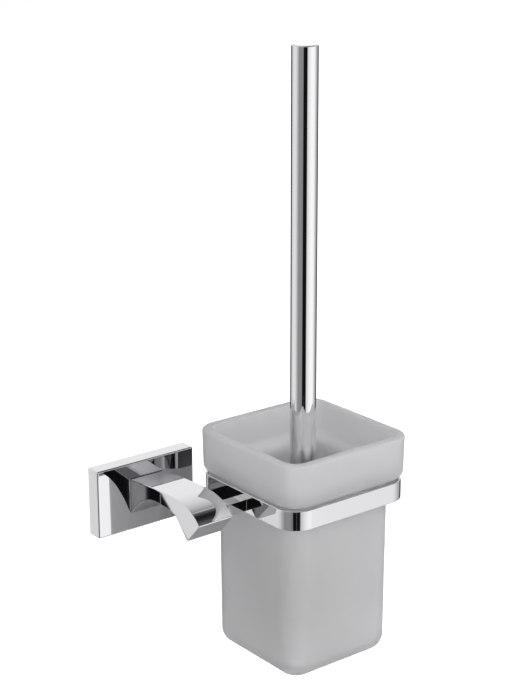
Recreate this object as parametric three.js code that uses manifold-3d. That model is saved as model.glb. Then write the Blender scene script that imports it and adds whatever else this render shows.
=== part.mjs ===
// Wall-mounted toilet brush holder: a chromed plate and arm carry a square ring, a frosted glass
// cup hangs in the ring by its collar, and a brush on a chromed tube stands in the cup.
// Millimetres. Origin at the centre of the wall plate's back, which lies against the wall.
// +X runs right along the wall, +Y into the wall, +Z up.
import * as THREE from 'three';
import { mergeVertices } from 'three/addons/utils/BufferGeometryUtils.js';
import Module from 'manifold-3d';

const wasm = await Module();
wasm.setup();

// ---- driving dimensions ----
const SLIP = 0.3;                 // room around a piece that sits in a hole cut for it
const JOINT_LINE = 0.1;           // fine line between two faces that are drawn together
const PAST = 2;                   // how far a cutter runs past the face it opens
const OVERLAP = 0.01;             // how far two cutters run into each other
const WELD = 1e-4;                // points closer than this are one point

const PLATE = { width: 72, height: 44.2, depth: 10.4, wall: 3 };
const WALL_HOLE = { x: 24, radius: 2.6, headRadius: 5, headDepth: 2.6 };
const ARM = { width: 25.2 };
const ARM_SCREW = { x: 7, z: 6, radius: 2.5, headRadius: 4.2, headHeight: 3, reach: 12, socket: 2 };
const GRUB = { radius: 2, length: 5, point: 1, y: -4, bite: 2.4, socket: 1.1, socketDepth: 2 };

const RING = { x: 73.6, y: -74.2, half: 47.4, band: 3, corner: 15.2, bottom: 1.4, top: 14 };
const BAR = { depth: 8.4, bottom: 2.9, top: 10.5 };
const RING_SCREW = { radius: 2, headRadius: 3.8, headHeight: 2.2, reach: 10, socket: 1.3, socketDepth: 1.4 };

const CUP = {
  bodyHalf: 40.8, footHalf: 40.1, corner: 13.9, bottom: -102, bottomRound: 10, insideRound: 8, base: 7,
  wall: 4,
};
const COLLAR = {
  half: 48.4, shoulderHalf: 47.9, corner: 14.4, underside: 13.8, round: 6, rim: 42.6, wall: 6.4,
  outerLip: 1.6, innerLip: 1.2,
};
const THROAT = { top: 25, bottom: 12, steps: 8 };

const HANDLE = { radius: 8, wall: 1.2, bottom: -8, top: 278, edge: 0.6 };
const CAP = { thickness: 3 };
const INSERT = { length: 14 };
const STUD = { radius: 3, below: 24, above: 11 };
const CORE = {
  radius: 13, bottom: -84, end: 9, endHeight: 5, shoulder: -20, chamfer: 3, neck: 5.5, neckFoot: 6.5,
  footHeight: 2, neckHeight: 5, collar: 7.3, collarHeight: 2,
};
const BRISTLES = { radius: 34, top: -25, bottom: -94.7, bottomRound: 12, topRound: 5 };

const ringLeft = RING.x - RING.half;
const barCentre = [RING.y, (BAR.bottom + BAR.top) / 2];

const ROUND = 32;                 // sides of a turned piece
const SMALL_ROUND = 20;           // sides of a screw or a small hole
const CUP_CORNER_STEPS = 6;       // straight steps round one corner of the cup
const CURVE_STEPS = 12;           // straight steps along one curve of the arm or corner of the ring
const HEX = 6;

// ---- materials ----
const material = (color, roughness, metalness) => new THREE.MeshStandardMaterial({
  color, roughness, metalness,
});
const chrome = () => material(0xdfe1e4, 0.04, 1);
const castMetal = () => material(0x9a9da1, 0.45, 1);
const steel = () => material(0xb9bcc0, 0.3, 1);
const brass = () => material(0xb89a5a, 0.35, 1);
const whitePlastic = () => material(0xf1f1ee, 0.4, 0);
const nylon = () => material(0xf4f4f2, 0.6, 0);
const frostedGlass = () => new THREE.MeshStandardMaterial({
  color: 0xb9babc, roughness: 0.55, metalness: 0, transparent: true, opacity: 0.92,
});

// ---- solids ----
function toSolid(geometry) {
  const bare = geometry.clone();
  bare.deleteAttribute('normal');
  bare.deleteAttribute('uv');
  const merged = mergeVertices(bare, WELD);
  const mesh = new wasm.Mesh({
    numProp: 3,
    vertProperties: new Float32Array(merged.attributes.position.array),
    triVerts: new Uint32Array(merged.index.array),
  });
  return new wasm.Manifold(mesh);
}

function toGeometry(solid) {
  const mesh = solid.getMesh();
  const geometry = new THREE.BufferGeometry();
  geometry.setAttribute('position', new THREE.BufferAttribute(new Float32Array(mesh.vertProperties), 3));
  geometry.setIndex(new THREE.BufferAttribute(new Uint32Array(mesh.triVerts), 1));
  geometry.computeVertexNormals();
  return geometry;
}

function cut(geometry, cutters) {
  let solid = toSolid(geometry);
  for (const cutter of cutters) solid = solid.subtract(toSolid(cutter));
  return toGeometry(solid);
}

// A box given by its lowest and highest corners.
function block([x0, y0, z0], [x1, y1, z1]) {
  const geometry = new THREE.BoxGeometry(x1 - x0, y1 - y0, z1 - z0);
  return geometry.translate((x0 + x1) / 2, (y0 + y1) / 2, (z0 + z1) / 2);
}

// A turned piece about +Z. The points are [radius, z], from the axis round and back to the axis,
// or a loop that closes on itself.
function turned(points, sides = ROUND) {
  const profile = points.map(([radius, z]) => new THREE.Vector2(radius, z));
  return new THREE.LatheGeometry(profile, sides).rotateX(Math.PI / 2);
}

// A cylinder from `start` along +X, +Y or +Z.
function rod(radius, start, axis, length, sides = SMALL_ROUND, endRadius = radius) {
  const geometry = new THREE.CylinderGeometry(endRadius, radius, length, sides);
  geometry.translate(0, length / 2, 0);
  if (axis === 'x') geometry.rotateZ(-Math.PI / 2);
  if (axis === 'z') geometry.rotateX(Math.PI / 2);
  return geometry.translate(...start);
}

function part(name, geometry, surface) {
  const mesh = new THREE.Mesh(geometry, surface);
  mesh.name = name;
  return mesh;
}

// ---- wall plate ----
// The countersunk hole for a wall screw, and the room for the head of an arm screw, on one side.
function bracketHoles(side, front) {
  const x = side * WALL_HOLE.x;
  const shank = rod(WALL_HOLE.radius, [x, front - PAST, 0], 'y', PLATE.depth + 2 * PAST);
  const sink = rod(WALL_HOLE.headRadius, [x, front - OVERLAP, 0], 'y', WALL_HOLE.headDepth,
    SMALL_ROUND, WALL_HOLE.radius);
  const room = rod(ARM_SCREW.headRadius + 2 * SLIP, [side * ARM_SCREW.x, front - PAST, ARM_SCREW.z], 'y',
    PAST + ARM_SCREW.headHeight + SLIP);
  return [shank, sink, room];
}

// The bracket is screwed to the wall first, and fills the plate's hollow.
function wallBracket() {
  const gap = PLATE.wall + SLIP;
  const halfX = PLATE.width / 2 - gap;
  const halfZ = PLATE.height / 2 - gap;
  const front = -(PLATE.depth - gap);
  const body = block([-halfX, front, -halfZ], [halfX, 0, halfZ]);
  const grubHole = rod(GRUB.radius + SLIP, [0, GRUB.y, -halfZ - PAST], 'z', PAST + GRUB.bite);
  const cutters = [grubHole, ...bracketHoles(-1, front), ...bracketHoles(1, front)];
  return part('wall_bracket', cut(body, cutters), castMetal());
}

// The plate is a hollow cover that is open at the back and drops over the bracket.
function wallPlate() {
  const { width, height, depth, wall } = PLATE;
  const halfX = width / 2;
  const halfZ = height / 2;
  const body = block([-halfX, -depth, -halfZ], [halfX, 0, halfZ]);
  const hollow = block([wall - halfX, wall - depth, wall - halfZ], [halfX - wall, PAST, halfZ - wall]);
  const grubHole = rod(GRUB.radius + SLIP, [0, GRUB.y, -halfZ - PAST], 'z', 2 * PAST + wall);
  const armHoles = [-1, 1].map((side) => rod(ARM_SCREW.radius + SLIP,
    [side * ARM_SCREW.x, -depth - PAST, ARM_SCREW.z], 'y', wall + 2 * PAST));
  return part('wall_plate', cut(body, [hollow, grubHole, ...armHoles]), chrome());
}

// A headless screw in the plate's underside, which grips the bracket.
function grubScrew() {
  const { radius, length, point, socket, socketDepth } = GRUB;
  const body = turned([
    [0, 0], [radius, 0], [radius, length - point], [radius - point, length], [0, length],
  ], SMALL_ROUND);
  const key = rod(socket, [0, 0, -PAST], 'z', PAST + socketDepth, HEX);
  const mesh = part('grub_screw', cut(body, [key]), steel());
  mesh.position.set(0, GRUB.y, -PLATE.height / 2 + SLIP);
  return mesh;
}

// ---- arm ----
// The side outline in [distance out from the plate's face, height]: a gently crowned top that
// rolls over at the tip, a square-cut end, and an arch underneath.
function armOutline() {
  const shape = new THREE.Shape();
  shape.moveTo(0, -11);
  shape.bezierCurveTo(6, -4.6, 14, 5.9, 30, 5.9);
  shape.bezierCurveTo(37, 5.9, 43, 4.8, 47.8, 3.9);
  shape.lineTo(60.1, -9.3);
  shape.lineTo(72.6, 4.3);
  shape.bezierCurveTo(67.5, 10.2, 60, 14.7, 46, 14.7);
  shape.bezierCurveTo(32, 14.7, 16, 13.6, 0, 11.7);
  return shape;
}

function arm() {
  const geometry = new THREE.ExtrudeGeometry(armOutline(), {
    depth: ARM.width, bevelEnabled: false, curveSegments: CURVE_STEPS,
  });
  // The outline's first axis becomes -Y, its second +Z, and the extrusion runs along -X.
  geometry.applyMatrix4(new THREE.Matrix4().set(
    0, 0, -1, ARM.width / 2,
    -1, 0, 0, -PLATE.depth - JOINT_LINE,
    0, 1, 0, 0,
    0, 0, 0, 1,
  ));
  const ringDepth = RING_SCREW.reach + SLIP;
  const ringHole = rod(RING_SCREW.radius + SLIP, [ARM.width / 2 - ringDepth, ...barCentre], 'x',
    ringDepth + PAST);
  const rootDepth = ARM_SCREW.reach + SLIP;
  const rootHoles = [-1, 1].map((side) => rod(ARM_SCREW.radius + SLIP,
    [side * ARM_SCREW.x, -PLATE.depth - rootDepth, ARM_SCREW.z], 'y', rootDepth + PAST));
  return part('arm', cut(geometry, [ringHole, ...rootHoles]), chrome());
}

// Two socket screws pass from the plate's hollow into the arm's root.
function armScrew(name, side) {
  const { radius, headRadius, headHeight, reach, socket } = ARM_SCREW;
  const shank = PLATE.wall + reach;
  const body = turned([[0, -shank], [radius, -shank], [radius, JOINT_LINE], [headRadius, JOINT_LINE],
    [headRadius, headHeight], [0, headHeight]], SMALL_ROUND);
  const key = rod(socket, [0, 0, headHeight / 2], 'z', headHeight, HEX);
  const mesh = part(name, cut(body, [key]), steel());
  mesh.rotation.x = -Math.PI / 2;
  mesh.position.set(side * ARM_SCREW.x, PLATE.wall - PLATE.depth, ARM_SCREW.z);
  return mesh;
}

// ---- ring and the bar that carries it ----
function sideBar() {
  const start = ARM.width / 2 + JOINT_LINE;
  const end = ringLeft - JOINT_LINE;
  const body = block([start, RING.y - BAR.depth / 2, BAR.bottom], [end, RING.y + BAR.depth / 2, BAR.top]);
  const hole = rod(RING_SCREW.radius + SLIP, [start - PAST, ...barCentre], 'x', end - start + 2 * PAST);
  return part('side_bar', cut(body, [hole]), chrome());
}

function roundedSquare(half, corner, Outline = THREE.Shape) {
  const flat = half - corner;
  const outline = new Outline();
  outline.moveTo(half, -flat);
  outline.lineTo(half, flat);
  outline.absarc(flat, flat, corner, 0, Math.PI / 2, false);
  outline.lineTo(-flat, half);
  outline.absarc(-flat, flat, corner, Math.PI / 2, Math.PI, false);
  outline.lineTo(-half, -flat);
  outline.absarc(-flat, -flat, corner, Math.PI, Math.PI * 1.5, false);
  outline.lineTo(flat, -half);
  outline.absarc(flat, -flat, corner, Math.PI * 1.5, Math.PI * 2, false);
  return outline;
}

function ring() {
  const { x, y, half, band, corner, bottom, top } = RING;
  const shape = roundedSquare(half, corner);
  shape.holes.push(roundedSquare(half - band, corner - band, THREE.Path));
  const body = new THREE.ExtrudeGeometry(shape, {
    depth: top - bottom, bevelEnabled: false, curveSegments: CURVE_STEPS,
  });
  body.translate(x, y, bottom);
  const hole = rod(RING_SCREW.radius + SLIP, [ringLeft - PAST, ...barCentre], 'x', band + 2 * PAST);
  const sinkDepth = RING_SCREW.headHeight + SLIP;
  const sink = rod(RING_SCREW.radius, [ringLeft + band - sinkDepth, ...barCentre], 'x',
    sinkDepth + OVERLAP, SMALL_ROUND, RING_SCREW.headRadius + SLIP);
  return part('ring', cut(body, [hole, sink]), chrome());
}

// A countersunk screw from inside the ring, through the bar, into the arm.
function ringScrew() {
  const { radius, headRadius, headHeight, reach, socket, socketDepth } = RING_SCREW;
  const shank = ringLeft + RING.band - ARM.width / 2 + reach - SLIP;
  const body = turned([[0, -shank], [radius, -shank], [radius, -headHeight], [headRadius, -SLIP / 2],
    [headRadius, 0], [0, 0]], SMALL_ROUND);
  const key = rod(socket, [0, 0, -socketDepth], 'z', socketDepth + PAST, HEX);
  const mesh = part('ring_screw', cut(body, [key]), steel());
  mesh.rotation.y = Math.PI / 2;
  mesh.position.set(ringLeft + RING.band - JOINT_LINE, ...barCentre);
  return mesh;
}

// ---- glass cup ----
// Points on a quarter circle about [half, z], from angle a0 to a1 in degrees, as [half, z].
function arc([half, z], radius, a0, a1, steps = 6) {
  return Array.from({ length: steps + 1 }, (_, i) => {
    const angle = THREE.MathUtils.degToRad(a0 + (a1 - a0) * i / steps);
    return [half + radius * Math.cos(angle), z + radius * Math.sin(angle)];
  });
}

// The cup tapers a little towards its foot, and its collar towards the shoulder, as pressed glass
// does. Below the collar the inside draws in on an even ease to the body.
function throat(collarInside, inside) {
  return Array.from({ length: THROAT.steps + 1 }, (_, i) => {
    const share = i / THROAT.steps;
    const ease = (1 - Math.cos(Math.PI * share)) / 2;
    return [collarInside + (inside - collarInside) * ease, THROAT.top + (THROAT.bottom - THROAT.top) * share];
  });
}

// The outline of half the cup's section, as [half width, z], from the middle of the underside up
// the outside, over the rim and down the inside.
function cupSection() {
  const { bodyHalf, footHalf, bottom, bottomRound, insideRound, base, wall } = CUP;
  const { half, shoulderHalf, underside, round, rim, outerLip, innerLip } = COLLAR;
  const neckRound = shoulderHalf - round - bodyHalf;
  const collarInside = half - COLLAR.wall;
  const footInside = footHalf - wall;
  return [
    [0, bottom],
    ...arc([footHalf - bottomRound, bottom + bottomRound], bottomRound, -90, 0, 8),
    ...arc([bodyHalf + neckRound, underside - neckRound], neckRound, 180, 90, 3),
    ...arc([shoulderHalf - round, underside + round], round, -90, 0, 8).slice(1),
    ...arc([half - outerLip, rim - outerLip], outerLip, 0, 90, 5),
    ...arc([collarInside + innerLip, rim - innerLip], innerLip, 90, 180, 5),
    ...throat(collarInside, bodyHalf - wall),
    ...arc([footInside - insideRound, bottom + base + insideRound], insideRound, 0, -90, 7),
    [0, bottom + base],
  ];
}

// Where the corner's centre stands for each half width: the body and the collar each have their
// own, and the neck blends from one to the other.
function cornerCentre(half, z, outside) {
  const bodyCentre = CUP.bodyHalf - CUP.corner;
  const collarCentre = COLLAR.half - COLLAR.corner;
  const [low, high] = outside
    ? [CUP.bodyHalf, COLLAR.shoulderHalf]
    : [CUP.bodyHalf - CUP.wall, COLLAR.half - COLLAR.wall];
  const blend = THREE.MathUtils.clamp((half - low) / (high - low), 0, 1);
  const share = z > COLLAR.underside + COLLAR.round && outside ? 1 : blend;
  return Math.min(bodyCentre + (collarCentre - bodyCentre) * share, half);
}

// A vessel with a rounded-square plan: a turned corner radius whose four quarters are moved out
// to the corner centres. The straight steps of each corner touch its true arc.
function cup() {
  const section = cupSection();
  const rimIndex = section.findIndex(([, z]) => z > COLLAR.rim - WELD);
  const centres = section.map(([half, z], i) => {
    const aboveThroat = i > rimIndex && z > THROAT.top;
    return aboveThroat ? COLLAR.half - COLLAR.corner : cornerCentre(half, z, i <= rimIndex);
  });
  const sides = 4 * CUP_CORNER_STEPS;
  const toVertex = 1 / Math.cos(Math.PI / sides);
  const profile = section.map(([half, z], i) => new THREE.Vector2((half - centres[i]) * toVertex, z));
  const geometry = new THREE.LatheGeometry(profile, sides, Math.PI / sides);
  const position = geometry.attributes.position;
  for (let i = 0; i < position.count; i += 1) {
    const column = Math.floor(i / section.length) % sides;
    const angle = (column + 0.5) * 2 * Math.PI / sides;
    const centre = centres[i % section.length];
    position.setX(i, position.getX(i) + Math.sign(Math.sin(angle)) * centre);
    position.setZ(i, position.getZ(i) + Math.sign(Math.cos(angle)) * centre);
  }
  const mesh = part('glass_cup', geometry.rotateX(Math.PI / 2), frostedGlass());
  mesh.position.set(RING.x, RING.y, 0);
  return mesh;
}

// ---- brush ----
function handleTube() {
  const { radius, wall, bottom, top, edge } = HANDLE;
  const inner = radius - wall;
  return part('handle_tube', turned([[inner, bottom], [radius, bottom], [radius, top - edge],
    [radius - edge, top], [inner, top], [inner, bottom]]), chrome());
}

function handleCap() {
  const radius = HANDLE.radius - HANDLE.wall - JOINT_LINE;
  const low = HANDLE.top - CAP.thickness;
  const profile = [[0, low], [radius, low], [radius, HANDLE.top], [0, HANDLE.top]];
  return part('handle_cap', turned(profile), chrome());
}

// A threaded bush fixed in the tube's lower end.
function handleInsert() {
  const radius = HANDLE.radius - HANDLE.wall - JOINT_LINE;
  const bore = STUD.radius + SLIP;
  const top = HANDLE.bottom + INSERT.length;
  return part('handle_insert', turned([[bore, HANDLE.bottom], [radius, HANDLE.bottom], [radius, top],
    [bore, top], [bore, HANDLE.bottom]]), brass());
}

// The stud that joins the handle to the brush head.
function brushStud() {
  const low = HANDLE.bottom - STUD.below;
  const high = HANDLE.bottom + STUD.above;
  const profile = [[0, low], [STUD.radius, low], [STUD.radius, high], [0, high]];
  return part('brush_stud', turned(profile, SMALL_ROUND), steel());
}

// The moulded head: a collar under the tube, a neck, and the round core that holds the bristles.
function brushCore() {
  const { radius, bottom, end, endHeight, shoulder, chamfer } = CORE;
  const { neck, neckFoot, footHeight, neckHeight, collar, collarHeight } = CORE;
  const top = HANDLE.bottom - JOINT_LINE;
  const bore = STUD.radius + SLIP;
  const boreEnd = HANDLE.bottom - STUD.below - SLIP;
  return part('brush_core', turned([
    [0, bottom], [end, bottom], [radius, bottom + endHeight],
    [radius, shoulder - chamfer], [radius - chamfer, shoulder],
    [neckFoot, shoulder + footHeight], [neck, shoulder + neckHeight],
    [collar, top - collarHeight], [collar, top],
    [bore, top], [bore, boreEnd], [0, boreEnd],
  ]), whitePlastic());
}

// The outer shape of the bristles, which stand out all round the core and below it.
function brushBristles() {
  const { radius, top, bottom, bottomRound, topRound } = BRISTLES;
  const bore = CORE.radius + SLIP;
  return part('brush_bristles', turned([
    [0, bottom],
    ...arc([radius - bottomRound, bottom + bottomRound], bottomRound, -90, 0, 5),
    ...arc([radius - topRound, top - topRound], topRound, 0, 90, 4),
    [bore, top], [bore, CORE.bottom - SLIP], [0, CORE.bottom - SLIP],
  ]), nylon());
}

function brush() {
  const group = new THREE.Group();
  group.position.set(RING.x, RING.y, 0);
  group.add(handleTube(), handleCap(), handleInsert(), brushStud(), brushCore(), brushBristles());
  return group;
}

const holder = new THREE.Group();
holder.add(wallBracket(), wallPlate(), grubScrew(), arm());
holder.add(armScrew('arm_screw_left', -1), armScrew('arm_screw_right', 1));
holder.add(sideBar(), ring(), ringScrew(), cup(), brush());

export default holder;
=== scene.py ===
# A wall-mounted toilet brush holder in polished chrome and frosted glass.
# Metres, in the CAD frame: the origin is at the centre of the wall plate's back, +Y runs into the
# wall and +Z up. The file follows the object as it is put together, from the wall to the bristles.
import math

import bpy
import numpy as np
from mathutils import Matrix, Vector


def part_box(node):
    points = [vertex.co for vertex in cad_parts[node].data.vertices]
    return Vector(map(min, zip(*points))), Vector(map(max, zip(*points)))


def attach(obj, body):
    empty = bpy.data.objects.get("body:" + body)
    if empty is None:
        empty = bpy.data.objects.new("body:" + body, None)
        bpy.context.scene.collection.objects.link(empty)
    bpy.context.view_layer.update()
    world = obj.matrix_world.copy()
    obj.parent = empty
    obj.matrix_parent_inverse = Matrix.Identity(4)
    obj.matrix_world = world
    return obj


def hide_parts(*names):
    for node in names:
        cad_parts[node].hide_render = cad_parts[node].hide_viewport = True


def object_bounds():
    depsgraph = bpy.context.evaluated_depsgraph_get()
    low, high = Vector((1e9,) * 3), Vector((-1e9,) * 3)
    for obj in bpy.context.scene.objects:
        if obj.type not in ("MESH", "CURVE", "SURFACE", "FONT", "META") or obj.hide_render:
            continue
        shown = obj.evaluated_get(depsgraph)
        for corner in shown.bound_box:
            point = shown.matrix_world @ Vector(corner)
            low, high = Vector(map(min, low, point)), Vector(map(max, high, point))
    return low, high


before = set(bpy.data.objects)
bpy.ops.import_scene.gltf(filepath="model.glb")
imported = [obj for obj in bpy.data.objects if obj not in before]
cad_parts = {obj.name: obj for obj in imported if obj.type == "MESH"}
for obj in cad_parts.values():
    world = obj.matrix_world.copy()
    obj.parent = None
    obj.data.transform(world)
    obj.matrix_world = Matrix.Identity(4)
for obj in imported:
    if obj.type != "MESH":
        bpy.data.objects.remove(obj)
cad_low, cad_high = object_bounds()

# ---------------------------------------------------------------------------------------------
# Camera: a long lens, from the front left and a little above, looking down on the object.
camera_place = Vector((-0.5486, -0.8240, 0.4001))
camera_azimuth = math.radians(-38.23)
camera_elevation = math.radians(17.42)
camera_roll = math.radians(0.13)

camera_data = bpy.data.cameras.new("camera")
camera_data.lens = 86.7
camera_data.clip_start = 0.05
camera_data.clip_end = 20
camera = bpy.data.objects.new("camera", camera_data)
bpy.context.scene.collection.objects.link(camera)
camera_back = Vector((
    math.sin(camera_azimuth) * math.cos(camera_elevation),
    -math.cos(camera_azimuth) * math.cos(camera_elevation),
    math.sin(camera_elevation),
))
camera.location = camera_place
camera.rotation_euler = camera_back.to_track_quat("Z", "Y").to_euler()
camera.rotation_euler.rotate_axis("Z", -camera_roll)
bpy.context.scene.camera = camera

# ---------------------------------------------------------------------------------------------
# Studio: a plain pale floor under a white sky. Polished metal shows little but what stands round
# it, so the sky that mirrors see has tall soft panels, grey and black between them.
scene = bpy.context.scene
scene.view_settings.view_transform = "Standard"
scene.view_settings.look = "None"

sky_white = 1.0
mirror_gain = 1.37
matt_level = 1.00                 # light on matt surfaces, most of it from the front
matt_front = 0.60
sky_blue = 1.01                   # the mirrored panels are a shade cool
floor_drop = 0.30
floor_half = 6.0
floor_white = 0.9
floor_glow = 0.45                 # the floor is lit from below

# The mirrored sky in bands, each with its elevation in degrees and its panels as azimuth in
# degrees (0 looks out from the wall, 90 to the right) and brightness.
upright_panels = [
    (-180, 0.02), (-171, 0.02), (-166, 0.66), (-150, 0.70), (-127, 0.74), (-112, 0.60), (-100, 0.40),
    (-88, 0.25), (-66, 0.26), (-52, 0.19), (-49, 0.006), (-19, 0.006), (-16, 0.45), (-12, 0.62),
    (8, 0.85), (25, 0.96), (36, 0.95), (41, 0.84), (48, 0.80), (61, 0.70), (76, 0.50), (95, 0.34),
    (103, 0.02), (130, 0.08), (179, 0.05),
]
upper_panels = [
    (-180, 0.02), (-171, 0.02), (-166, 0.66), (-150, 0.72), (-127, 0.83), (-112, 0.73), (-100, 0.50),
    (-88, 0.27), (-66, 0.26), (-52, 0.23), (-49, 0.006), (-19, 0.006), (-16, 0.57), (-12, 0.73),
    (8, 0.94), (25, 1.04), (48, 1.00), (61, 0.73), (76, 0.44), (95, 0.22), (103, 0.02), (179, 0.02),
]
sky_bands = [
    (-60, [(-180, 0.50), (-90, 0.35), (0, 0.45), (90, 0.35), (130, 0.20), (179, 0.40)]),
    (-28, upright_panels),
    (-21.3, upright_panels),
    (-20, upper_panels),
    (1, upper_panels),
    (2.5, [(-180, 0.90), (179, 0.90)]),
    (9, [(-180, 0.90), (179, 0.90)]),
    (12, [(-180, 0.18), (-90, 0.30), (-20, 0.10), (35, 0.20), (90, 0.18), (179, 0.18)]),
    (15, [(-180, 0.78), (-120, 0.60), (-60, 0.30), (-20, 0.12), (35, 0.15), (70, 0.30), (110, 0.82),
          (179, 0.82)]),
    (26, [(-180, 0.78), (-120, 0.60), (-60, 0.30), (-20, 0.12), (35, 0.16), (70, 0.30), (110, 0.83),
          (179, 0.83)]),
    (50, [(-180, 0.80), (-90, 0.40), (0, 0.10), (40, 0.08), (52, 0.075), (60, 0.03), (68, 0.008),
          (77, 0.02), (86, 0.12), (103, 0.385), (114, 0.50), (124, 0.59), (138, 0.665), (150, 0.72),
          (179, 0.80)]),
    (85, [(-180, 0.75), (-90, 0.40), (0, 0.10), (60, 0.02), (90, 0.05), (130, 0.50), (179, 0.75)]),
]

# Two narrow uprights below the horizon, a dark stand behind on the left and a grey gap between
# the dark panels: azimuth, half width, lean and brightness.
strip_elevation = -22.6
strip_top = -19
strip_sharpness = 12
sky_strips = [(-146.22, 1.0, 0.577, 0.004), (-33.68, 0.32, 0.0, 0.31)]


def feed(tree, slot, value):
    """Fills a node's input: a socket is linked to it, a number is set, as a grey on a colour."""
    if isinstance(value, bpy.types.NodeSocket):
        tree.links.new(value, slot)
    elif slot.type == "RGBA":
        slot.default_value = (value, value, value, 1)
    else:
        slot.default_value = value


def number(tree, operation, *values, clamp=False):
    """A Math node whose inputs are sockets or plain numbers."""
    node = tree.nodes.new("ShaderNodeMath")
    node.operation = operation
    node.use_clamp = clamp
    for slot, value in zip(node.inputs, values):
        feed(tree, slot, value)
    return node.outputs["Value"]


def blend(tree, share, colour, other):
    """The colour, turned to the other one as the share goes from 0 to 1."""
    mix = tree.nodes.new("ShaderNodeMix")
    mix.data_type = "RGBA"
    feed(tree, mix.inputs["Factor"], share)
    feed(tree, mix.inputs["A"], colour)
    feed(tree, mix.inputs["B"], other)
    return mix.outputs["Result"]


def sky_ramp(tree, around, panels):
    """One band of the sky: brightness against the share of a turn, straight between its stops."""
    ramp = tree.nodes.new("ShaderNodeValToRGB")
    ramp.color_ramp.interpolation = "LINEAR"
    stops = ramp.color_ramp.elements
    while len(stops) < len(panels):
        stops.new(0.5)
    for stop, (azimuth, value) in zip(stops, panels):
        stop.position = (azimuth + 180) / 360
        stop.color = (value, value, value * sky_blue, 1)
    feed(tree, ramp.inputs["Fac"], around)
    return ramp.outputs["Color"]


def sky_strip(tree, azimuth, elevation, middle, half_width, lean):
    """1 on a narrow upright strip of the sky and 0 off it, all in degrees. It leans by so many
    degrees of azimuth for each degree of elevation above the strips' own height."""
    shift = number(tree, "MULTIPLY_ADD", elevation, math.degrees(lean), -lean * strip_elevation)
    across = number(tree, "MULTIPLY_ADD", azimuth, math.degrees(1), shift)
    distance = number(tree, "ABSOLUTE", number(tree, "SUBTRACT", across, middle))
    inside = number(tree, "SUBTRACT", half_width, distance)
    inside = number(tree, "MULTIPLY", inside, strip_sharpness, clamp=True)
    low_down = number(tree, "LESS_THAN", elevation, math.radians(strip_top))
    return number(tree, "MULTIPLY", inside, low_down)


def mirrored_sky(tree, azimuth, elevation):
    """The sky that mirrors see: each band blended into the next by elevation, then the strips."""
    around = number(tree, "MULTIPLY_ADD", azimuth, 1 / (2 * math.pi), 0.5)
    colour = sky_ramp(tree, around, sky_bands[0][1])
    for (low, _), (high, panels) in zip(sky_bands, sky_bands[1:]):
        share = number(tree, "SUBTRACT", elevation, math.radians(low))
        share = number(tree, "DIVIDE", share, math.radians(high - low), clamp=True)
        colour = blend(tree, share, colour, sky_ramp(tree, around, panels))
    for middle, half_width, lean, value in sky_strips:
        strip = sky_strip(tree, azimuth, elevation, middle, half_width, lean)
        colour = blend(tree, strip, colour, value)
    return colour


def background(tree, colour, strength=1.0):
    """A Background shader."""
    shader = tree.nodes.new("ShaderNodeBackground")
    feed(tree, shader.inputs["Color"], colour)
    feed(tree, shader.inputs["Strength"], strength)
    return shader.outputs["Background"]


def choose(tree, share, off, on):
    """The first shader where the share is 0, and the second where it is 1."""
    mix = tree.nodes.new("ShaderNodeMixShader")
    for slot, value in zip(mix.inputs, (share, off, on)):
        feed(tree, slot, value)
    return mix.outputs["Shader"]


def studio_sky():
    """A white sky for the camera, the panels for mirrors, and a plain one, brighter to the front,
    for matt surfaces and for light that comes through the glass."""
    world = bpy.data.worlds.new("studio_sky")
    world.use_nodes = True
    tree = world.node_tree
    tree.nodes.clear()
    direction = tree.nodes.new("ShaderNodeSeparateXYZ")
    feed(tree, direction.inputs["Vector"], tree.nodes.new("ShaderNodeTexCoord").outputs["Generated"])
    out_from_wall = number(tree, "MULTIPLY", direction.outputs["Y"], -1.0)
    azimuth = number(tree, "ARCTAN2", direction.outputs["X"], out_from_wall)
    elevation = number(tree, "ARCSINE", direction.outputs["Z"])
    mirrors = background(tree, mirrored_sky(tree, azimuth, elevation), mirror_gain)
    matt = background(tree, number(tree, "MULTIPLY_ADD", out_from_wall, matt_front, matt_level))
    path = tree.nodes.new("ShaderNodeLightPath").outputs
    in_mirror = number(tree, "SUBTRACT", path["Is Glossy Ray"], path["Is Transmission Ray"], clamp=True)
    light = choose(tree, in_mirror, matt, mirrors)
    sky = choose(tree, path["Is Camera Ray"], light, background(tree, sky_white))
    feed(tree, tree.nodes.new("ShaderNodeOutputWorld").inputs["Surface"], sky)
    return world


def soft_light(name, at, width, power):
    """A square soft light that mirrors don't see, turned to face the object's middle."""
    data = bpy.data.lights.new(name, "AREA")
    data.shape = "SQUARE"
    data.size = width
    data.energy = power
    light = bpy.data.objects.new(name, data)
    light.location = at
    light.rotation_euler = (Vector(at) - object_middle).to_track_quat("Z", "Y").to_euler()
    light.visible_glossy = False
    scene.collection.objects.link(light)


def new_material(name, settings):
    """A material, its node tree and its shader, with the settings on the shader's own sockets."""
    material = bpy.data.materials.new(name)
    material.use_nodes = True
    shader = material.node_tree.nodes["Principled BSDF"]
    for socket, value in settings.items():
        shader.inputs[socket].default_value = value
    return material, material.node_tree, shader


def pale_floor():
    """A wide flat sheet below the object, which only the camera sees."""
    low = cad_low.z - floor_drop
    corners = [(x * floor_half, y * floor_half, low) for x, y in ((-1, -1), (1, -1), (1, 1), (-1, 1))]
    mesh = bpy.data.meshes.new("floor")
    mesh.from_pydata(corners, [], [(0, 1, 2, 3)])
    material, _, _ = new_material("floor", {
        "Base Color": (floor_white, floor_white, floor_white, 1), "Roughness": 1.0,
        "Specular IOR Level": 0.0, "Emission Color": (1, 1, 1, 1), "Emission Strength": floor_glow,
    })
    mesh.materials.append(material)
    floor = bpy.data.objects.new("floor", mesh)
    floor.visible_glossy = False
    floor.visible_diffuse = False
    floor.visible_transmission = False
    scene.collection.objects.link(floor)


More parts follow.
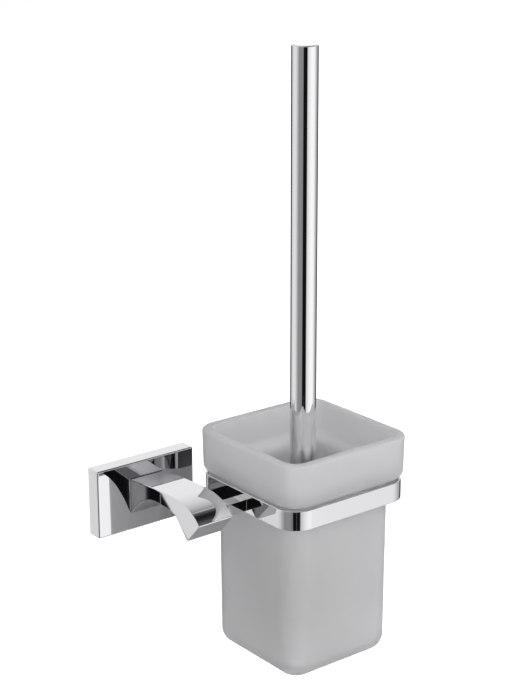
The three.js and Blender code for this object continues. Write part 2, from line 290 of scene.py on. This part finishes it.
scene.world = studio_sky()
pale_floor()
object_middle = (cad_low + cad_high) / 2
soft_light("key", at=(1.1, -1.3, 1.1), width=1.2, power=7)
soft_light("fill", at=(-1.5, -0.6, 0.8), width=1.4, power=4)

# ---------------------------------------------------------------------------------------------
# Wall plate: a cast zinc cover, polished and chromed, hollow at the back. It drops over the
# bracket. Its faces are flat and its outer edges only just broken, as polishing leaves them.
plate_low, plate_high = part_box("wall_plate")
plate_corner = 0.0011
plate_edge = 0.0010
plate_wall = 0.003
plate_inner_corner = 0.00015
rim_edge = 0.0002
edge_steps = 5
keep_flat = 0.00012               # a flat face is held flat by a row this far from its edge


def smooth_mesh(name, points, faces):
    """A mesh of points and faces, shaded smooth."""
    mesh = bpy.data.meshes.new(name)
    mesh.from_pydata(points.tolist(), [], faces)
    mesh.polygons.foreach_set("use_smooth", np.ones(len(faces), bool))
    mesh.update()
    return mesh


def skin(name, rows, around=False):
    """A closed skin over rows of points, rows x columns x 3. Quads join each row to the next and
    the last column to the first; the end rows are closed by a flat face each, or to each other
    when the rows run around. If its volume comes out negative the faces are turned over."""
    count, columns = rows.shape[:2]
    index = np.arange(count * columns).reshape(count, columns)
    if around:
        index = np.vstack([index, index[:1]])
    a, b = index[:-1], index[1:]
    quads = np.stack([a, np.roll(a, -1, 1), np.roll(b, -1, 1), b], -1).reshape(-1, 4)
    faces = quads.tolist()
    points = rows.reshape(-1, 3)
    centred = points - points.mean(0)
    p, q, r, s = (centred[quads[:, corner]] for corner in range(4))
    volume = (np.cross(p, q) * r).sum() + (np.cross(p, r) * s).sum()
    if not around:
        for end in (index[0][::-1], index[-1]):
            faces.append(end.tolist())
            loop = centred[end]
            volume += (np.cross(loop[0], loop) * np.roll(loop, -1, 0)).sum()
    if volume < 0:
        faces = [face[::-1] for face in faces]
    return smooth_mesh(name, points, faces)


def place(mesh, material, body, node):
    """Puts a finished mesh in the scene, on its body, in place of its CAD node."""
    piece = bpy.data.objects.new(mesh.name, mesh)
    scene.collection.objects.link(piece)
    mesh.materials.append(material)
    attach(piece, body)
    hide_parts(node)


def rounded_plan(half_x, half_y, corner, steps=edge_steps):
    """Rounded rectangles, rows x columns x 2. Each row has its own half sizes and corner radius:
    a corner point is its corner's centre plus the radius times (cos, sin), and each straight side
    carries a point just past both its ends, so that it shades as flat."""
    half_x, half_y, corner = (
        np.atleast_1d(values).astype(float) for values in np.broadcast_arrays(half_x, half_y, corner))
    quarter = np.linspace(0, math.pi / 2, steps + 1)
    columns = []
    for turn in range(4):
        angle = quarter + turn * math.pi / 2
        sx, sy = ((1, 1), (-1, 1), (-1, -1), (1, -1))[turn]
        centre_x = (sx * (half_x - corner))[:, None]
        centre_y = (sy * (half_y - corner))[:, None]
        arc = np.stack([centre_x + corner[:, None] * np.cos(angle),
                        centre_y + corner[:, None] * np.sin(angle)], -1)
        along = np.array([-np.sin(angle[0]), np.cos(angle[0])])
        onward = np.array([-np.sin(angle[-1]), np.cos(angle[-1])])
        before = arc[:, :1] - along * keep_flat
        after = arc[:, -1:] + onward * keep_flat
        columns.append(np.concatenate([before, arc, after], 1))
    return np.concatenate(columns, 1)


def edge_arc(radius, steps=edge_steps):
    """A rounded edge as (inset, depth) pairs, from the face round to the side: inset is the
    radius times 1 - sin, depth the radius times 1 - cos, with a flat row before and after."""
    angle = np.linspace(0, math.pi / 2, steps + 1)
    inset, depth = radius * (1 - np.sin(angle)), radius * (1 - np.cos(angle))
    return np.vstack([[radius + keep_flat, 0], np.stack([inset, depth], -1), [0, radius + keep_flat]])


def wall_plate_rows():
    """Rows over the front face's edge, along the sides, round the back rim and up the inside."""
    front = edge_arc(plate_edge)
    thickness = plate_high.y - plate_low.y
    rim = edge_arc(rim_edge)
    outer_back = np.stack([rim[::-1, 0], thickness - rim[::-1, 1]], -1)
    inner_back = np.stack([plate_wall - rim[:, 0], thickness - rim[:, 1]], -1)
    inside = np.array([[plate_wall, plate_wall + rim_edge], [plate_wall, plate_wall],
                       [plate_wall + keep_flat, plate_wall]])
    section = np.vstack([front, outer_back, inner_back, inside])
    half_x = (plate_high.x - plate_low.x) / 2 - section[:, 0]
    half_z = (plate_high.z - plate_low.z) / 2 - section[:, 0]
    plan = rounded_plan(half_x, half_z, np.maximum(plate_corner - section[:, 0], plate_inner_corner))
    y = np.broadcast_to((plate_low.y + section[:, 1])[:, None], plan.shape[:2])
    middle = (plate_low + plate_high) / 2
    return np.stack([plan[..., 0] + middle.x, y, plan[..., 1] + middle.z], -1)


hairline_stretch = 0.04           # hairlines run upright, long against their width
mark_contrast = 2.2
chrome_colour = (0.66, 0.66, 0.672)


def group_socket(group, name, direction, kind="NodeSocketFloat", value=None):
    """A named input or output of a node group."""
    socket = group.interface.new_socket(name, in_out=direction, socket_type=kind)
    if value is not None:
        socket.default_value = value


def noise(tree, where, scale, detail=2.0):
    """A cloudy value between 0 and 1, at a scale in features to the metre."""
    texture = tree.nodes.new("ShaderNodeTexNoise")
    for name, value in (("Vector", where), ("Scale", scale), ("Detail", detail)):
        feed(tree, texture.inputs[name], value)
    return texture.outputs["Fac"]


def relief(tree, height, distance, strength=1.0):
    """The normal of a surface that a height of 1 raises by the distance."""
    bump = tree.nodes.new("ShaderNodeBump")
    for name, value in (("Height", height), ("Distance", distance), ("Strength", strength)):
        feed(tree, bump.inputs[name], value)
    return bump.outputs["Normal"]


def polish_group():
    """What polishing and wiping leave on metal: broad cloudy patches where it was wiped, times
    fine hairlines that run one way. Gives a roughness from smooth to rough, and a height."""
    group = bpy.data.node_groups.new("polish_marks", "ShaderNodeTree")
    group_socket(group, "Vector", "INPUT", "NodeSocketVector")
    group_socket(group, "Patch Scale", "INPUT", value=45.0)
    group_socket(group, "Line Scale", "INPUT", value=900.0)
    group_socket(group, "Smooth", "INPUT", value=0.02)
    group_socket(group, "Rough", "INPUT", value=0.06)
    group_socket(group, "Roughness", "OUTPUT")
    group_socket(group, "Height", "OUTPUT")
    given = group.nodes.new("NodeGroupInput").outputs
    result = group.nodes.new("NodeGroupOutput").inputs
    stretch = group.nodes.new("ShaderNodeMapping")
    stretch.inputs["Scale"].default_value = (1.0, 1.0, hairline_stretch)
    feed(group, stretch.inputs["Vector"], given["Vector"])
    patches = noise(group, given["Vector"], given["Patch Scale"], detail=3.0)
    hairlines = noise(group, stretch.outputs["Vector"], given["Line Scale"])
    share = number(group, "MULTIPLY", patches, hairlines)
    share = number(group, "MULTIPLY", share, mark_contrast, clamp=True)
    spread = number(group, "SUBTRACT", given["Rough"], given["Smooth"])
    feed(group, result["Roughness"], number(group, "MULTIPLY_ADD", share, spread, given["Smooth"]))
    feed(group, result["Height"], hairlines)
    return group


polish_marks = polish_group()


def polished_metal(name, colour, smooth, rough, patch_scale=45.0, line_scale=900.0, bump=0.0):
    """Bare polished or plated metal, with the marks of polishing in its roughness and surface."""
    material, tree, shader = new_material(name, {"Base Color": (*colour, 1), "Metallic": 1.0})
    marks = tree.nodes.new("ShaderNodeGroup")
    marks.node_tree = polish_marks
    feed(tree, marks.inputs["Vector"], tree.nodes.new("ShaderNodeTexCoord").outputs["Object"])
    for socket, value in (("Patch Scale", patch_scale), ("Line Scale", line_scale),
                          ("Smooth", smooth), ("Rough", rough)):
        marks.inputs[socket].default_value = value
    feed(tree, shader.inputs["Roughness"], marks.outputs["Roughness"])
    if bump:
        feed(tree, shader.inputs["Normal"], relief(tree, marks.outputs["Height"], bump))
    return material


chrome = polished_metal("chrome", chrome_colour, smooth=0.003, rough=0.022)
place(skin("chromed_wall_plate", wall_plate_rows()), chrome, "holder", "wall_plate")

# ---------------------------------------------------------------------------------------------
# Bracket and screws: the zinc casting on the wall that the plate drops over, the steel screws
# that hold the arm and ring, and the grub screw under the plate. Their CAD solids are shown.
bracket_zinc = polished_metal("cast_zinc", (0.52, 0.53, 0.55), smooth=0.35, rough=0.62,
                              patch_scale=120.0, line_scale=1500.0, bump=0.00004)
screw_steel = polished_metal("screw_steel", (0.62, 0.62, 0.63), smooth=0.18, rough=0.40,
                             patch_scale=300.0, line_scale=4000.0, bump=0.00001)


def finish_node(node, material):
    """Gives a CAD solid its material and leaves the solid as it is."""
    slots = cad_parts[node].data.materials
    slots.clear()
    slots.append(material)


finish_node("wall_bracket", bracket_zinc)
for screw in ("grub_screw", "arm_screw_left", "arm_screw_right", "ring_screw"):
    finish_node(screw, screw_steel)

# ---------------------------------------------------------------------------------------------
# Arm: one thick casting the full width of its section. Its top is gently crowned and rolls over
# at the tip, its end is cut square to its underside, and a shallow arch is scooped out below.
arm_low, arm_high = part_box("arm")
arm_edge = 0.0005
arm_corner = 0.0009               # the roundness of the heel and the tip
kink_round = 0.0003
curve_steps = 40

# Places on the arm's side: distance out from the plate, and height.
arch_foot = (0, -0.0110)
arch_top = (0.0300, 0.0059)
arm_kink = (0.0478, 0.0039)
arm_heel = (0.0601, -0.0093)
arm_tip = (0.0726, 0.0043)
crown_top = (0.0460, 0.0147)
crown_end = (0, 0.0117)


def curve(start, first_pull, second_pull, end, steps=curve_steps):
    """A cubic curve from start to end, which leaves towards first_pull and arrives from
    second_pull. The start point is left out, so that curves and lines can follow on."""
    t = np.linspace(0, 1, steps + 1)[1:, None]
    s = 1 - t
    points = [np.array(p, float) for p in (start, first_pull, second_pull, end)]
    return s**3 * points[0] + 3 * s**2 * t * points[1] + 3 * s * t**2 * points[2] + t**3 * points[3]


def soften(before, corner, after, radius, steps=edge_steps):
    """An arc in place of a corner between two straight sides, with a point just past each end.
    Its centre lies on the corner's bisector, at the radius over the sine of half the angle."""
    before, corner, after = (np.array(point, float) for point in (before, corner, after))
    back = (before - corner) / np.linalg.norm(before - corner)
    on = (after - corner) / np.linalg.norm(after - corner)
    angle = math.acos(back @ on)
    reach = radius / math.tan(angle / 2)
    centre = corner + (back + on) / np.linalg.norm(back + on) * radius / math.sin(angle / 2)
    start, end = corner + back * reach - centre, corner + on * reach - centre
    sweep = math.pi - angle
    t = np.linspace(0, 1, steps + 1)[:, None]
    arc = centre + (np.sin((1 - t) * sweep) * start + np.sin(t * sweep) * end) / math.sin(sweep)
    return np.vstack([corner + back * (reach + keep_flat), arc, corner + on * (reach + keep_flat)])


def arm_outline():
    """The arm's side: the arch from the plate to the kink, the underside to the heel, the square
    end up to the tip, and the crown back to the plate, each bend a cubic curve."""
    arch = np.vstack([
        [arch_foot],
        curve(arch_foot, (0.0060, -0.0046), (0.0140, 0.0059), arch_top),
        curve(arch_top, (0.0370, 0.0059), (0.0430, 0.0048), arm_kink)[:-1],
    ])
    crown = np.vstack([
        curve(arm_tip, (0.0675, 0.0102), (0.0600, 0.0147), crown_top),
        curve(crown_top, (0.0320, 0.0147), (0.0160, 0.0136), crown_end),
    ])
    corners = [
        soften(arch[-1], arm_kink, arm_heel, kink_round),
        soften(arm_kink, arm_heel, arm_tip, arm_corner),
        soften(arm_heel, arm_tip, crown[0], arm_corner),
    ]
    clear = np.linalg.norm(crown - arm_tip, axis=1) > 2 * arm_corner
    return np.vstack([arch, *corners, crown[clear]])


def inset_outline(outline, inset):
    """The outline moved inwards: each point goes along the mean of its two sides' normals, by the
    inset over the cosine of half the turn between them."""
    side = np.roll(outline, -1, 0) - outline
    side /= np.linalg.norm(side, axis=1)[:, None]
    normal = np.stack([-side[:, 1], side[:, 0]], -1)
    mean = normal + np.roll(normal, 1, 0)
    mean /= np.linalg.norm(mean, axis=1)[:, None]
    cosine = (mean * normal).sum(1)[:, None]
    return outline + mean / cosine * inset


def arm_rows():
    """The side outline carried from one side of the arm to the other, with rounded edges."""
    outline = arm_outline()
    edge = edge_arc(arm_edge)
    width = arm_high.x - arm_low.x
    section = np.vstack([edge, np.stack([edge[::-1, 0], width - edge[::-1, 1]], -1)])
    rows = []
    for inset, depth in section:
        side = inset_outline(outline, inset)
        x = np.full(len(side), arm_low.x + depth)
        rows.append(np.stack([x, arm_high.y - side[:, 0], side[:, 1]], -1))
    return np.array(rows)


place(skin("chromed_arm", arm_rows()), chrome, "holder", "arm")

# ---------------------------------------------------------------------------------------------
# Side bar: a short solid rectangular bar that spaces the ring off the arm.
bar_low, bar_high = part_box("side_bar")
bar_edge = 0.0003


def side_bar_rows():
    """A rounded rectangle carried along X from the arm's side to the ring."""
    x = np.array([bar_low.x, bar_low.x + keep_flat, bar_high.x - keep_flat, bar_high.x])
    middle = (bar_low + bar_high) / 2
    plan = rounded_plan(np.full(4, bar_high.y - middle.y), bar_high.z - middle.z, bar_edge)
    return np.stack([np.broadcast_to(x[:, None], plan.shape[:2]), plan[..., 0] + middle.y,
                     plan[..., 1] + middle.z], -1)


place(skin("chromed_side_bar", side_bar_rows()), chrome, "holder", "side_bar")

# ---------------------------------------------------------------------------------------------
# Ring: a flat band bent into a rounded square, brazed shut and polished. The cup's collar rests
# on its inner edge.
ring_low, ring_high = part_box("ring")
ring_half = (ring_high.x - ring_low.x) / 2
ring_corner = 0.0152
ring_band = 0.003
ring_edge = 0.0005
corner_steps = 28


def ring_rows():
    """The band's section, a rounded rectangle, carried round the rounded square. Rows run round
    the section, so that each row is the square moved in by the section's inset."""
    height = ring_high.z - ring_low.z
    section = rounded_plan(ring_band / 2, height / 2, ring_edge)[0]
    inset = ring_band / 2 - section[:, 0]
    plan = rounded_plan(ring_half - inset, ring_half - inset, ring_corner - inset, corner_steps)
    middle = (ring_low + ring_high) / 2
    z = np.broadcast_to((middle.z + section[:, 1])[:, None], plan.shape[:2])
    return np.stack([plan[..., 0] + middle.x, plan[..., 1] + middle.y, z], -1)


place(skin("chromed_ring", ring_rows(), around=True), chrome, "holder", "ring")

# ---------------------------------------------------------------------------------------------
# Glass cup: thick pressed glass, frosted all over in acid. Its plan is a rounded square, and its
# wider collar has a rounded shoulder that sits down on the ring.
cup_low, cup_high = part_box("glass_cup")
cup_middle = (cup_low + cup_high) / 2
cup_body_half = 0.0408
cup_foot_half = 0.0401
cup_body_corner = 0.0139
cup_bottom_round = 0.010
cup_inner_round = 0.008
cup_base = 0.007
cup_wall = 0.004
base_flat = 0.0003                # how far past its round the base is held flat
collar_half = (cup_high.x - cup_low.x) / 2
collar_flare = 0.0005
shoulder_half = collar_half - collar_flare
collar_corner = 0.0144
collar_underside = 0.0138
collar_round = 0.006
collar_wall = 0.0064
outer_lip = 0.0016
inner_lip = 0.0012
throat_top = 0.025
throat_bottom = 0.012
throat_steps = 24


def arc_about(half, z, radius, start, end, steps=10):
    """Points on an arc about (half, z), from one angle in degrees to another."""
    angle = np.radians(np.linspace(start, end, steps + 1))
    return np.stack([half + radius * np.cos(angle), z + radius * np.sin(angle)], -1)


def straight(start, end, steps):
    """Points between two ends, both left out."""
    t = np.linspace(0, 1, steps + 2)[1:-1, None]
    return (1 - t) * np.array(start) + t * np.array(end)


def cup_outside():
    """(half width, z) from the underside round the foot and up the side, out round the hollow of
    the neck, over the shoulder, up the collar and onto the rim, in arcs and straights."""
    bottom, rim = cup_low.z, cup_high.z
    foot_z = bottom + cup_bottom_round
    foot_centre = cup_foot_half - cup_bottom_round
    shoulder_centre = shoulder_half - collar_round
    shoulder_z = collar_underside + collar_round
    neck = shoulder_centre - cup_body_half
    neck_z = collar_underside - neck
    return np.vstack([
        [[foot_centre - base_flat, bottom]],
        arc_about(foot_centre, foot_z, cup_bottom_round, -90, 0, steps=16),
        straight((cup_foot_half, foot_z), (cup_body_half, neck_z), steps=12),
        arc_about(cup_body_half + neck, neck_z, neck, 180, 90, steps=6),
        arc_about(shoulder_centre, shoulder_z, collar_round, -90, 0, steps=14)[1:],
        straight((shoulder_half, shoulder_z), (collar_half, rim - outer_lip), steps=3),
        arc_about(collar_half - outer_lip, rim - outer_lip, outer_lip, 0, 90, steps=8),
    ])


def cup_inside():
    """(half width, z) from the rim down the collar, through the throat, which narrows as a cosine,
    down the side and round onto the base."""
    rim, floor_z = cup_high.z, cup_low.z + cup_base
    body = cup_body_half - cup_wall
    foot = cup_foot_half - cup_wall
    foot_z = floor_z + cup_inner_round
    collar = collar_half - collar_wall
    fall = np.linspace(0, 1, throat_steps + 1)[:, None]
    throat = np.hstack([collar + (body - collar) * (1 - np.cos(math.pi * fall)) / 2,
                        throat_top + (throat_bottom - throat_top) * fall])
    return np.vstack([
        arc_about(collar + inner_lip, rim - inner_lip, inner_lip, 90, 180, steps=8),
        straight((collar, rim - inner_lip), (collar, throat_top), steps=3),
        throat,
        straight((body, throat_bottom), (foot, foot_z), steps=10),
        arc_about(foot - cup_inner_round, foot_z, cup_inner_round, 0, -90, steps=12),
        [[foot - cup_inner_round - base_flat, floor_z]],
    ])


def cup_plans(section, body, collar, top):
    """Rounded squares stacked up a section. The corner's centre moves out from the body's place to
    the collar's as the half width grows, and stays at the collar's above the height of top."""
    half, z = section[:, 0], section[:, 1]
    share = np.where(z > top, 1.0, np.clip((half - body) / (collar - body), 0, 1))
    body_centre = cup_body_half - cup_body_corner
    collar_centre = collar_half - collar_corner
    centre = np.minimum(body_centre + (collar_centre - body_centre) * share, half)
    plan = rounded_plan(half, half, half - centre, corner_steps)
    return np.stack([plan[..., 0] + cup_middle.x, plan[..., 1] + cup_middle.y,
                     np.broadcast_to(z[:, None], plan.shape[:2])], -1)


def cup_rows():
    """Rows up the outside and down the inside, from the underside to the top of the base."""
    outside = cup_plans(cup_outside(), cup_body_half, shoulder_half, collar_underside + collar_round)
    inside = cup_plans(cup_inside(), cup_body_half - cup_wall, collar_half - collar_wall, throat_top)
    return np.concatenate([outside, inside])


glass_dark = (0.76, 0.758, 0.768, 1)
glass_light = (0.81, 0.808, 0.818, 1)
glass_smooth = 0.48
glass_clouding = 0.12


def tint(tree, share, start, first, end, second):
    """A colour that goes from the first to the second as the share goes from start to end."""
    ramp = tree.nodes.new("ShaderNodeValToRGB")
    for stop, position, colour in zip(ramp.color_ramp.elements, (start, end), (first, second)):
        stop.position = position
        stop.color = colour
    feed(tree, ramp.inputs["Fac"], share)
    return ramp.outputs["Color"]


def frosted_glass():
    """Acid-frosted glass: a fine even grain over faint clouds, and a little light let through."""
    material, tree, shader = new_material("frosted_glass", {
        "IOR": 1.5, "Specular IOR Level": 0.35, "Transmission Weight": 0.7,
        "Subsurface Weight": 1.0, "Subsurface Radius": (1, 1, 1), "Subsurface Scale": 0.008,
    })
    where = tree.nodes.new("ShaderNodeTexCoord").outputs["Object"]
    clouds = noise(tree, where, scale=18.0, detail=4.0)
    grain = noise(tree, where, scale=2600.0, detail=1.0)
    feed(tree, shader.inputs["Base Color"], tint(tree, clouds, 0.3, glass_dark, 0.7, glass_light))
    roughness = number(tree, "MULTIPLY_ADD", clouds, glass_clouding, glass_smooth)
    feed(tree, shader.inputs["Roughness"], roughness)
    feed(tree, shader.inputs["Normal"], relief(tree, grain, distance=0.00004, strength=0.25))
    return material


place(skin("frosted_glass_cup", cup_rows()), frosted_glass(), "cup", "glass_cup")

# ---------------------------------------------------------------------------------------------
# Handle: a 16 mm chromed tube. A disc closes its top, brazed in and polished flush, and a
# threaded brass bush in its lower end takes the stud of the brush head.
tube_low, tube_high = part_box("handle_tube")
cap_low, cap_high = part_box("handle_cap")
handle_x = (tube_low.x + tube_high.x) / 2
handle_y = (tube_low.y + tube_high.y) / 2
tube_radius = (tube_high.x - tube_low.x) / 2
tube_wall = 0.0012
tube_edge = 0.0006
joint_edge = 0.00005              # where the cap is polished flush with the tube
round_columns = 96


def turned_rows(profile, columns=round_columns):
    """A profile of (radius, z) turned about the handle's axis."""
    angle = np.arange(columns) * 2 * math.pi / columns
    radius, z = profile[:, :1], profile[:, 1:]
    return np.stack([handle_x + radius * np.cos(angle), handle_y + radius * np.sin(angle),
                     np.broadcast_to(z, (len(profile), columns))], -1)


def tube_profile():
    """The tube's wall: outside, the rounded top edge, the top, the inside and the lower end."""
    inner = tube_radius - tube_wall
    bottom, top = tube_low.z, tube_high.z
    edge = arc_about(tube_radius - tube_edge, top - tube_edge, tube_edge, 0, 90, steps=8)
    return np.vstack([
        [[tube_radius, bottom], [tube_radius, bottom + keep_flat]],
        straight((tube_radius, bottom), (tube_radius, top - tube_edge), steps=12),
        [[tube_radius, top - tube_edge - keep_flat]],
        edge,
        [[inner + joint_edge, top], [inner, top - joint_edge]],
        [[inner, bottom + keep_flat], [inner, bottom]],
    ])


def cap_profile():
    """The flush disc, its upper edge just broken."""
    radius = (cap_high.x - cap_low.x) / 2
    return np.array([
        [radius - keep_flat, cap_low.z], [radius, cap_low.z], [radius, cap_low.z + keep_flat],
        [radius, cap_high.z - joint_edge], [radius - joint_edge, cap_high.z],
        [radius - keep_flat - joint_edge, cap_high.z],
    ])


handle_chrome = polished_metal("handle_chrome", chrome_colour, smooth=0.006, rough=0.03,
                               patch_scale=30.0, line_scale=1100.0)
turned_brass = polished_metal("turned_brass", (0.72, 0.55, 0.27), smooth=0.2, rough=0.4,
                              patch_scale=200.0, line_scale=3000.0, bump=0.00001)
handle_tube = skin("chromed_handle", turned_rows(tube_profile()), around=True)
handle_cap = skin("chromed_handle_cap", turned_rows(cap_profile()))
place(handle_tube, handle_chrome, "brush", "handle_tube")
place(handle_cap, handle_chrome, "brush", "handle_cap")
finish_node("handle_insert", turned_brass)
finish_node("brush_stud", screw_steel)

# ---------------------------------------------------------------------------------------------
# Brush head: a moulded white core with a collar, a waisted neck and rows of stapled nylon tufts,
# which stand out all round it and fan out below its end.
core_low, core_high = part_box("brush_core")
bristle_low, bristle_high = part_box("brush_bristles")
core_radius = (core_high.x - core_low.x) / 2
bristle_radius = (bristle_high.x - bristle_low.x) / 2
core_end_round = 0.005
core_end_flat = 0.0005
shoulder_top = -0.020
shoulder_round = 0.003
neck_radius = 0.0055
neck_length = 0.0078
neck_steps = 16
head_collar_radius = 0.0073
head_collar_height = 0.0026
head_collar_edge = 0.0004
head_collar_flat = 0.0006
core_columns = 64
mould_roughness = 0.28
pebble_roughness = 0.25


def core_profile():
    """Bottom, side and shoulder, the neck, which narrows as the cube of the way left to go, and
    the collar under the handle."""
    bottom, top = core_low.z, core_high.z
    round_centre = core_radius - core_end_round
    shoulder_centre = core_radius - shoulder_round
    shoulder_z = shoulder_top - shoulder_round
    rise = np.linspace(0, 1, neck_steps + 1)[1:, None]
    sweep = neck_radius + (shoulder_centre - neck_radius) * (1 - rise) ** 3
    collar_bottom = top - head_collar_height
    collar_inset = head_collar_radius - head_collar_edge
    return np.vstack([
        [[round_centre - core_end_flat, bottom]],
        arc_about(round_centre, bottom + core_end_round, core_end_round, -90, 0),
        straight((core_radius, bottom + core_end_round), (core_radius, shoulder_z), steps=8),
        arc_about(shoulder_centre, shoulder_z, shoulder_round, 0, 90, steps=8),
        np.hstack([sweep, shoulder_top + neck_length * rise]),
        [[collar_inset, collar_bottom], [head_collar_radius, collar_bottom + head_collar_edge]],
        [[head_collar_radius, top - head_collar_edge], [collar_inset, top]],
        [[collar_inset - head_collar_flat, top]],
    ])


def moulded_plastic():
    """White moulded plastic: a faint pebbled skin, slightly glossier where the mould was smooth."""
    material, tree, shader = new_material("moulded_plastic", {
        "Base Color": (0.70, 0.70, 0.69, 1), "Subsurface Weight": 0.08,
        "Subsurface Radius": (0.003, 0.003, 0.003),
    })
    where = tree.nodes.new("ShaderNodeTexCoord").outputs["Object"]
    pebble = noise(tree, where, scale=900.0)
    roughness = number(tree, "MULTIPLY_ADD", pebble, pebble_roughness, mould_roughness)
    feed(tree, shader.inputs["Roughness"], roughness)
    feed(tree, shader.inputs["Normal"], relief(tree, pebble, distance=0.00003, strength=0.4))
    return material


core = skin("moulded_brush_core", turned_rows(core_profile(), core_columns))
place(core, moulded_plastic(), "brush", "brush_core")

tuft_rows = 13
tufts_per_row = 18
end_tuft_rings = ((0.0, 1), (0.0036, 6), (0.0070, 11))     # radius on the core's end, and tufts
end_tuft_reach = 0.020
hole_depth = 0.001
first_hole = 0.005                # above the core's end
last_hole = 0.008                 # below its shoulder
first_tip = 0.006                 # above the bristles' lowest point
end_tip = 0.0012                  # the end tufts and the top row, from the bristles' limits
tip_margin = 0.0006
tuft_hole_radius = 0.0011
tuft_spread = 0.0036
filaments_per_tuft = 16
filament_radius = 0.00019
filament_stations = (0.0, 0.35, 0.7, 1.0)
filament_taper = (1.0, 1.0, 0.9, 0.35)
filament_corners = 3
filament_stray = 0.35
filament_bow = 0.0007
filament_margin = 0.0004
filament_seed = 7
bottom_round = 0.012
top_round = 0.005


def envelope_radius(z):
    """How far the bristles reach at height z: full radius, less a quarter circle at each end."""
    low = np.clip((bristle_low.z + bottom_round - z) / bottom_round, 0, 1)
    high = np.clip((z - bristle_high.z + top_round) / top_round, 0, 1)
    return (bristle_radius - bottom_round * (1 - np.sqrt(1 - low**2))
            - top_round * (1 - np.sqrt(1 - high**2)))


def around_axis(share):
    """Directions out from the handle's axis, at shares of a turn."""
    return np.stack([np.cos(2 * math.pi * share), np.sin(2 * math.pi * share)], -1)


def side_tufts():
    """The tufts round the core: rows up it, each turned half a step from the last. Holes and tips
    are spread evenly between their ends."""
    row = np.repeat(np.arange(tuft_rows), tufts_per_row)
    step = np.tile(np.arange(tufts_per_row), tuft_rows) + 0.5 * (row % 2)
    out = around_axis(step / tufts_per_row)
    share = row / (tuft_rows - 1)
    hole_low, hole_high = core_low.z + first_hole, shoulder_top - last_hole
    tip_low, tip_high = bristle_low.z + first_tip, bristle_high.z - end_tip
    hole_z = hole_low + share * (hole_high - hole_low)
    tip_z = tip_low + share * (tip_high - tip_low)
    reach = envelope_radius(tip_z) - tip_margin
    holes = np.hstack([out * (core_radius - hole_depth), hole_z[:, None]])
    tips = np.hstack([out * reach[:, None], tip_z[:, None]])
    return holes, tips


def end_tufts():
    """The tufts on the core's end, in rings. They fan out in proportion to their radius there."""
    radius = np.concatenate([np.full(count, ring) for ring, count in end_tuft_rings])
    turn = np.concatenate([(np.arange(count) + 0.5) / count for _, count in end_tuft_rings])
    out = around_axis(turn) * radius[:, None]
    hole_z = np.full((len(out), 1), core_low.z + hole_depth)
    tip_z = np.full((len(out), 1), bristle_low.z + end_tip)
    fan = end_tuft_reach / end_tuft_rings[-1][0]
    return np.hstack([out, hole_z]), np.hstack([out * fan, tip_z])


def filament_lines():
    """The middle of each filament, filaments x stations x 3: straight from its hole to its place
    at the tuft's end, plus a bow that goes as a sine. Offsets in a tuft are seeded."""
    random = np.random.default_rng(filament_seed)
    holes, tips = (np.repeat(np.vstack(ends), filaments_per_tuft, 0)
                   for ends in zip(side_tufts(), end_tufts()))
    offset = random.uniform(-1, 1, holes.shape)
    stray = random.uniform(-filament_stray, filament_stray, holes.shape)
    bow = random.uniform(-filament_bow, filament_bow, holes.shape)[:, None]
    start = holes + offset * tuft_hole_radius
    end = tips + (offset + stray) * tuft_spread
    end[:, 2] = np.clip(end[:, 2], bristle_low.z + filament_margin, bristle_high.z - filament_margin)
    radius = np.linalg.norm(end[:, :2], axis=1)
    limit = envelope_radius(end[:, 2]) - filament_margin
    end[:, :2] *= np.minimum(1, limit / radius)[:, None]
    station = np.array(filament_stations)[:, None]
    return start[:, None] + (end - start)[:, None] * station + bow * np.sin(math.pi * station)


def bristle_mesh():
    """Each filament is a three-sided prism about its line, and comes to a blunt point: a corner
    is the line's point plus the radius and taper times (cos, sin) in the plane across it."""
    lines = filament_lines()
    count, stations = lines.shape[:2]
    along = lines[:, -1] - lines[:, 0]
    along /= np.linalg.norm(along, axis=1)[:, None]
    side = np.cross(along, [0.3, 0.2, 1.0])        # a slant that no filament runs along
    side /= np.linalg.norm(side, axis=1)[:, None]
    other = np.cross(along, side)
    turn = around_axis(np.arange(filament_corners) / filament_corners)
    ring = side[:, None] * turn[:, :1] + other[:, None] * turn[:, 1:]
    reach = filament_radius * np.array(filament_taper)[:, None, None]
    points = (lines[:, :, None] + ring[:, None] * reach).reshape(-1, 3) + [handle_x, handle_y, 0]
    corner = np.arange(filament_corners)
    following = np.roll(corner, -1)
    quad = np.stack([corner, following, following + filament_corners, corner + filament_corners], -1)
    quads = quad + filament_corners * np.arange(stations - 1)[:, None, None]
    ends = np.stack([corner[::-1], corner + filament_corners * (stations - 1)])
    first = (filament_corners * stations * np.arange(count))[:, None, None]
    faces = (quads.reshape(-1, 4) + first).reshape(-1, 4).tolist()
    faces += (ends + first).reshape(-1, filament_corners).tolist()
    return smooth_mesh("nylon_bristles", points, faces)


nylon_dark = (0.70, 0.70, 0.68, 1)
nylon_light = (0.86, 0.86, 0.84, 1)


def nylon():
    """Milky white filaments that differ a little from tuft to tuft."""
    material, tree, shader = new_material("white_nylon", {"Roughness": 0.42, "Sheen Weight": 0.15})
    where = tree.nodes.new("ShaderNodeTexCoord").outputs["Object"]
    tuft = noise(tree, where, scale=160.0)
    feed(tree, shader.inputs["Base Color"], tint(tree, tuft, 0.35, nylon_dark, 0.65, nylon_light))
    return material


place(bristle_mesh(), nylon(), "brush", "brush_bristles")
